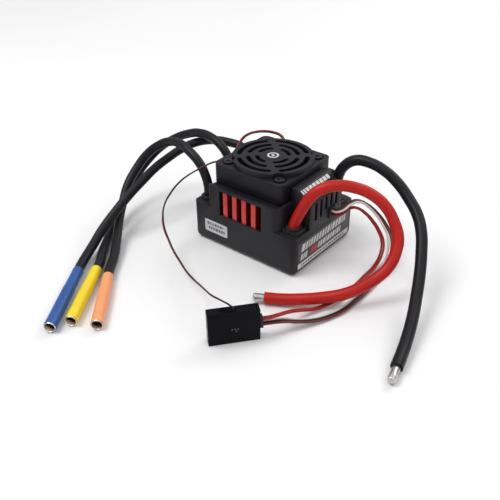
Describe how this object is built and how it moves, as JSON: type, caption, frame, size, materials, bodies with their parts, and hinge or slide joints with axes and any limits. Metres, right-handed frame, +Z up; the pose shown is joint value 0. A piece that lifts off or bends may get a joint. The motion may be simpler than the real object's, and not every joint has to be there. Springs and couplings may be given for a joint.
{
  "type": "electronic speed controller",
  "caption": "Brushless motor speed controller with a finned red heat sink under a cooling fan, motor and battery leads, and a small switch box on thin wires.",
  "frame": {"origin": "bottom centre of the controller's case, leads left out", "axes": "+X towards the end with the battery cables and the label, +Z up out of the fan"},
  "size_m": [0.1744, 0.1393, 0.0449],
  "materials": {
    "case_plastic": "satin",
    "cover_plastic": "satin",
    "anodised_red": "satin",
    "thermal_grey": "matte",
    "board_green": "satin",
    "chip_black": "matte",
    "copper": "polished",
    "capacitor_sleeve": "gloss",
    "fan_plastic": "satin",
    "magnet_grey": "satin",
    "steel": "satin",
    "sintered_bronze": "satin",
    "black_screw": "satin",
    "label_white": "satin",
    "label_dark": "satin",
    "grommet_rubber": "matte",
    "silicone_red": "satin",
    "silicone_black": "satin",
    "wire_red": "satin",
    "wire_black": "satin",
    "wire_white": "satin",
    "wire_brown": "satin",
    "tinned": "satin",
    "gold_plate": "polished",
    "sleeve_orange": "satin",
    "sleeve_yellow": "satin",
    "sleeve_blue": "satin",
    "box_black": "gloss",
    "led_red": "gloss",
    "button_white": "satin"
  },
  "bodies": {
    "controller": {"case_shell": "case_plastic", "bottom_plate": "case_plastic", "bottom_screws": "black_screw", "heat_sink": "anodised_red", "thermal_pad": "thermal_grey", "power_board": "board_green", "mosfet_bank": "chip_black", "power_posts": "copper", "control_board": "board_green", "control_chip": "chip_black", "board_header": "gold_plate", "input_capacitors": "capacitor_sleeve", "fan_frame": "fan_plastic", "fan_bearing": "sintered_bronze", "fan_stator": "copper", "fan_cover": "cover_plastic", "fan_screws": "black_screw", "hub_badge": "label_white", "side_label": "label_white", "end_label": "label_dark", "hood_label": "label_white", "battery_grommets": "grommet_rubber", "motor_grommets": "grommet_rubber", "control_grommet": "grommet_rubber", "battery_cable_red": "silicone_red", "battery_cable_black": "silicone_black", "battery_tip_red": "tinned", "battery_tip_black": "tinned", "motor_cable_a": "silicone_black", "motor_cable_b": "silicone_black", "motor_cable_c": "silicone_black", "bullet_socket_a": "gold_plate", "bullet_socket_b": "gold_plate", "bullet_socket_c": "gold_plate", "motor_sleeve_a": "sleeve_orange", "motor_sleeve_b": "sleeve_yellow", "motor_sleeve_c": "sleeve_blue", "fan_lead_red": "wire_red", "fan_lead_black": "wire_black", "control_wire_red_a": "wire_red", "control_wire_red_b": "wire_red", "signal_wire_white": "wire_white", "signal_wire_black": "wire_black", "signal_wire_brown": "wire_brown", "switch_box_shell": "box_black", "switch_box_cover": "box_black", "switch_board": "board_green", "slide_switch_body": "steel", "tact_switch_body": "chip_black", "status_led": "led_red", "box_strain_relief": "grommet_rubber"},
    "rotor": {"fan_impeller": "fan_plastic", "rotor_magnet": "magnet_grey", "fan_shaft": "steel"},
    "slider": {"switch_slider": "button_white"},
    "button": {"set_button": "button_white"}
  },
  "joints": [
    {"name": "fan_spin", "type": "hinge", "parent": "controller", "child": "rotor", "pos_m": [-0.00065, 0, 0.0302], "axis": [0, 0, 1], "continuous": true},
    {"name": "power_switch", "type": "slide", "parent": "controller", "child": "slider", "axis": [0.6353, 0.7723, 0], "range_m": [0, 0.002]},
    {"name": "set_press", "type": "slide", "parent": "controller", "child": "button", "axis": [0.7723, -0.6353, 0], "range_m": [0, 0.0003], "stiffness_N_per_m": 400}
  ]
}
